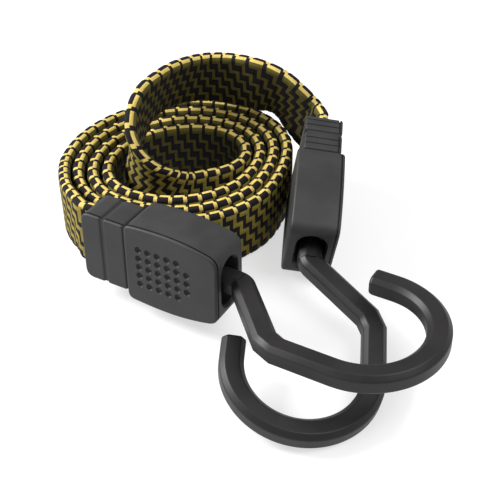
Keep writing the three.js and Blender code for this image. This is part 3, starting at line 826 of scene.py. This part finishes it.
def dimple_cuts():
    """Shallow round bowls, each part of a sphere."""
    radius = (DIMPLE_RADIUS ** 2 + DIMPLE_DEPTH ** 2) / (2 * DIMPLE_DEPTH)
    cy = -HALF_THICKNESS - radius + DIMPLE_DEPTH
    middle = (len(DIMPLE_ROWS) - 1) / 2
    turns = [math.pi * k / DIMPLE_RINGS for k in range(1, DIMPLE_RINGS)]
    cuts = []
    for row, count in enumerate(DIMPLE_ROWS):
        cz = (middle - row) * DIMPLE_PITCH[1]
        for i in range(count):
            cx = DIMPLE_START + i * DIMPLE_PITCH[0]
            rings = [
                at_level(circle(radius * math.sin(a), cx, cz, DIMPLE_SIDES), cy + radius * math.cos(a))
                for a in turns
            ]
            cuts.append(stack("dimple", rings))
    return cuts


def tray_solid():
    channel_half = STRAP_WIDTH / 2 + SEAT_GAP
    channel_depth = STRAP_THICKNESS / 2 + SEAT_GAP
    front = -HALF_THICKNESS - OVERRUN
    channel = block(
        (-NECK_LENGTH - OVERRUN, front, -channel_half), (CHANNEL_END_AT, channel_depth, channel_half)
    )
    bay = EYE_RADIUS + TURNING_GAP
    pocket_room = block((POCKET_START, front, -bay), (BODY_LENGTH - MOUTH_WALL, 0, bay))
    return cut(outer_form(), cover_halfspace(0), channel, pocket_room, pocket_form(), *rib_cuts())


def tongues():
    """Inner rims that close the parting line, so that it shows as a groove and not as a slit."""
    neck_outline = pad_outline(-NECK_LENGTH, OVERRUN, NECK_END_CORNER, TONGUE_CORNER)
    solids = []
    for outline, joint in ((body_outline(), COVER_JOINT), (neck_outline, NECK_COVER_JOINT)):
        rim = inset(outline, TONGUE_INSET)
        levels = (-joint - TONGUE_ROOT, -joint - TONGUE_GAP)
        solids.append(stack("tongue", [at_level(rim, y) for y in levels]))
    return solids


def cover_solid():
    form = outer_form()
    apply_boolean(form, cover_halfspace(PARTING_GAP), "INTERSECT")
    join(form, *tongues())
    return cut(form, pocket_form(), *rib_cuts(), *dimple_cuts())


# Hook: its bar leaves the mouth, bends out to one side, runs straight, and turns back in a half circle
BAR_HALF_ACROSS = 2.95
BAR_HALF_THROUGH = 2.75
BAR_BEVEL_SHARE = 0.45
BAR_BEVEL = BAR_BEVEL_SHARE * BAR_HALF_THROUGH
FACET_ROUND = 0.3
BAR_MITRE_LIMIT = 0.6

ROOT_RUN = 3.4
BEND_RUN = 16.2
ARM_RUN = 16.4
ROOT_END_AT = BODY_LENGTH + ROOT_RUN
HOOK_CORNER_AT = ROOT_END_AT + BEND_RUN
HOOK_ARC_AT = HOOK_CORNER_AT + ARM_RUN
HOOK_RADIUS = 16.8
HOOK_ARC_STEPS = 72
ROOT_BEND = 1.5
ROOT_BEND_STEPS = 8
CORNER_BEND = 2.3

HOOK_TIP_RUN = 5.0
HOOK_TIP_CHAMFER = 0.9
HOOK_TIP_STEPS = 5
TIP_BEVEL_SHRINK = 0.4

ROOT_HALF = 3.05
ROOT_SIDES = 8
EYE_SIDES = 48
EYE_EDGE = 0.4
EYE_EDGE_MIDDLE = 0.12
EYE_BORE_RADIUS = 2.3
EYE_BORE_HALF_LENGTH = 4.0
BORE_SIDES = 32


def hook_line():
    """The bar's middle line in the hook's plane, from inside the mouth to the tip."""
    root, root_end = Vector((PIN_AT, 0)), Vector((ROOT_END_AT, 0))
    corner, arm_end = Vector((HOOK_CORNER_AT, -HOOK_RADIUS)), Vector((HOOK_ARC_AT, -HOOK_RADIUS))
    bend_in, bend_out = towards(root_end, root, ROOT_BEND), towards(root_end, corner, ROOT_BEND)
    corner_in = towards(corner, root_end, CORNER_BEND)
    corner_out = towards(corner, arm_end, CORNER_BEND)
    points = [(BODY_LENGTH - ROOT_BEND, 0.0)]
    points += quadratic(bend_in, root_end, bend_out, ROOT_BEND_STEPS)
    points += [tuple(corner_in), tuple(corner_out), tuple(arm_end)]
    for k in range(1, HOOK_ARC_STEPS + 1):
        a = -math.pi / 2 + math.pi * k / HOOK_ARC_STEPS
        points.append((HOOK_ARC_AT + HOOK_RADIUS * math.cos(a), HOOK_RADIUS * math.sin(a)))
    points.append((HOOK_ARC_AT - HOOK_TIP_RUN, HOOK_RADIUS))
    return points


def bar_section(inset_by=0.0):
    """The bar's section as (in the hook's plane, through it)."""
    across, through = BAR_HALF_ACROSS - inset_by, BAR_HALF_THROUGH - inset_by
    bevel = BAR_BEVEL * (1 - TIP_BEVEL_SHRINK * inset_by)
    half = [
        (across, through - bevel),
        (across - bevel, through),
        (bevel - across, through),
        (-across, through - bevel),
    ]
    return rounded_polygon(half + [(-a, -t) for a, t in half], FACET_ROUND)


def hook_bar():
    """The bar swept along its line, mitred at each step, with an eased tip."""
    points = [Vector(p) for p in hook_line()]
    rings = []
    for i, here in enumerate(points):
        before = (here - points[i - 1]).normalized() if i else Vector((1, 0))
        after = (points[i + 1] - here).normalized() if i < len(points) - 1 else before
        along = (before + after).normalized()
        side = Vector((-along.y, along.x)) / max(along.dot(before), BAR_MITRE_LIMIT)
        rings.append([(here.x + side.x * a, here.y + side.y * a, t) for a, t in bar_section()])
    end = points[-1]
    for k in range(1, HOOK_TIP_STEPS + 1):
        turn = math.pi / 2 * k / HOOK_TIP_STEPS
        reach, inset_by = HOOK_TIP_CHAMFER * math.sin(turn), HOOK_TIP_CHAMFER * (1 - math.cos(turn))
        rings.append([(end.x - reach, end.y - a, t) for a, t in bar_section(inset_by)])
    return stack("hook", rings)


def hook_root():
    """The eight-sided stub between the eye and the first bend."""
    half_turn = math.pi / ROOT_SIDES
    radius = ROOT_HALF / math.cos(half_turn)
    turns = [half_turn + 2 * half_turn * i for i in range(ROOT_SIDES)]
    ring = rounded_polygon([(radius * math.cos(a), radius * math.sin(a)) for a in turns], FACET_ROUND)
    return stack("root", [[(x, a, t) for a, t in ring] for x in (PIN_AT, ROOT_END_AT)])


def hook_eye():
    """The disc that turns on the pin, with eased edges."""
    profile = [
        (ROOT_HALF, EYE_RADIUS - EYE_EDGE),
        (ROOT_HALF - EYE_EDGE_MIDDLE, EYE_RADIUS - EYE_EDGE_MIDDLE),
        (ROOT_HALF - EYE_EDGE, EYE_RADIUS),
    ]
    levels = [(-y, radius) for y, radius in profile] + profile[::-1]
    return stack("eye", [at_level(circle(radius, PIN_AT, 0, EYE_SIDES), y) for y, radius in levels])


def hook_solid():
    bore_ring = circle(EYE_BORE_RADIUS, PIN_AT, 0, BORE_SIDES)
    bore = stack("bore", [at_level(bore_ring, y) for y in (EYE_BORE_HALF_LENGTH, -EYE_BORE_HALF_LENGTH)])
    return cut(join(hook_bar(), hook_root(), hook_eye()), bore)


# Both fittings
SHARP_ANGLE = math.radians(35)


def moulded_piece(shape, node, material, matrix, body):
    """A copy of a solid in its place, smoothed by angle and dressed, that stands for its CAD node."""
    obj = shape.copy()
    obj.data = shape.data.copy()
    scene.collection.objects.link(obj)
    obj.name = f"{node}_moulded"
    obj.data.name = obj.name
    obj.data.transform(Matrix.Translation(matrix.translation * MM) @ matrix.to_3x3().to_4x4())
    smooth(obj.data)
    obj.data.set_sharp_from_angle(angle=SHARP_ANGLE)
    modifier = obj.modifiers.new("weighted", "WEIGHTED_NORMAL")
    modifier.keep_sharp = True
    apply_modifiers(obj)
    obj.data.materials.clear()
    obj.data.materials.append(material)
    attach(obj, body)
    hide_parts(node)


tray_shape, cover_shape, hook_shape = tray_solid(), cover_solid(), hook_solid()
for letter in FITTINGS:
    matrix, hook_matrix = fitting_matrix(letter), fitting_matrix(letter, at_hook=True)
    moulded_piece(tray_shape, f"housing_tray_{letter}", housing_plastic, matrix, "cord")
    moulded_piece(cover_shape, f"housing_cover_{letter}", housing_plastic, matrix, "cord")
    moulded_piece(hook_shape, f"hook_{letter}", hook_plastic, hook_matrix, f"hook_{letter}")
    for node in (f"strap_clip_{letter}", f"hook_pin_{letter}"):
        for material_slot in frame["nodes"][node].material_slots:
            material_slot.material = steel
for shape in (tray_shape, cover_shape, hook_shape):
    bpy.data.objects.remove(shape)

# Rubber strands, side by side in the sleeve
STRAND_COUNT = 4
STRAND_GAP = 0.15
STRAND_CORNER = 0.3
STRAND_STEP = 2.0


def build_strands():
    inside_half = STRAP_WIDTH / 2 - SLEEVE_WALL
    width = (2 * inside_half - (STRAND_COUNT + 1) * STRAND_GAP) / STRAND_COUNT
    half_w = width / 2
    half_t = STRAP_THICKNESS / 2 - SLEEVE_WALL - STRAND_GAP
    corners = [(half_w, half_t), (-half_w, half_t), (-half_w, -half_t), (half_w, -half_t)]
    section = rounded_polygon(corners, STRAND_CORNER)
    middles, ups, throughs = strap_frames(np.arange(0, travelled[-1], STRAND_STEP))
    made = []
    for i in range(STRAND_COUNT):
        centre_w = -inside_half + STRAND_GAP + width / 2 + i * (width + STRAND_GAP)
        rings = [
            [middle + (centre_w + a) * up + b * through for a, b in section]
            for middle, up, through in zip(middles, ups, throughs)
        ]
        strand = stack(f"rubber_strand_{i + 1}_latex", rings)
        smooth(strand.data)
        strand.data.materials.append(rubber)
        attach(strand, "cord")
        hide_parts(f"rubber_strand_{i + 1}")
        made.append(strand)
    return made


strands = build_strands()

# Floor, background and light. Lengths are in metres here
FLOOR_REACH = 3.0
FLOOR_GREY = 0.45
FLOOR_ROUGHNESS = 0.95
FLOOR_LIFT = 0.6
WORLD_STRENGTH = 0.55
LAMP_TARGET = (-0.005, 0.01, 0.01)


def floor_look():
    """A grey floor that a lift, seen only by the camera and in reflections, turns white."""
    material, nodes, links, shader = new_material("floor_white", (FLOOR_GREY,) * 3, FLOOR_ROUGHNESS)
    shader.inputs["Specular IOR Level"].default_value = 0.0
    shader.inputs["Emission Color"].default_value = (1, 1, 1, 1)
    light_path = nodes.new("ShaderNodeLightPath")
    lift = light_path.outputs["Is Camera Ray"]
    for ray in ("Is Glossy Ray", "Is Transmission Ray"):
        either = nodes.new("ShaderNodeMath")
        either.operation = "MAXIMUM"
        links.new(lift, either.inputs[0])
        links.new(light_path.outputs[ray], either.inputs[1])
        lift = either.outputs["Value"]
    scaled_lift = nodes.new("ShaderNodeMath")
    scaled_lift.operation = "MULTIPLY"
    scaled_lift.inputs[1].default_value = FLOOR_LIFT
    links.new(lift, scaled_lift.inputs[0])
    links.new(scaled_lift.outputs["Value"], shader.inputs["Emission Strength"])
    return material


def build_floor():
    mesh = bpy.data.meshes.new("floor")
    reach = FLOOR_REACH
    corners = [(-reach, -reach, 0), (reach, -reach, 0), (reach, reach, 0), (-reach, reach, 0)]
    mesh.from_pydata(corners, [], [(0, 1, 2, 3)])
    mesh.materials.append(floor_look())
    new_object("floor", mesh)


def build_world():
    world = bpy.data.worlds.new("studio")
    scene.world = world
    world.use_nodes = True
    background = world.node_tree.nodes["Background"]
    background.inputs["Color"].default_value = (1, 1, 1, 1)
    background.inputs["Strength"].default_value = WORLD_STRENGTH


def lamp(name, place, size, power):
    """A round area lamp that faces the object."""
    data = bpy.data.lights.new(name, "AREA")
    data.shape = "DISK"
    data.size = size
    data.energy = power
    obj = new_object(name, data)
    obj.location = place
    obj.rotation_euler = (Vector(LAMP_TARGET) - Vector(place)).to_track_quat("-Z", "Y").to_euler()


build_floor()
build_world()
lamp("key", (-0.5, 0.14, 0.36), size=0.28, power=5.3)
lamp("fill", (0.3, -0.08, 0.52), size=0.35, power=1.7)
scene.view_settings.view_transform = "Standard"
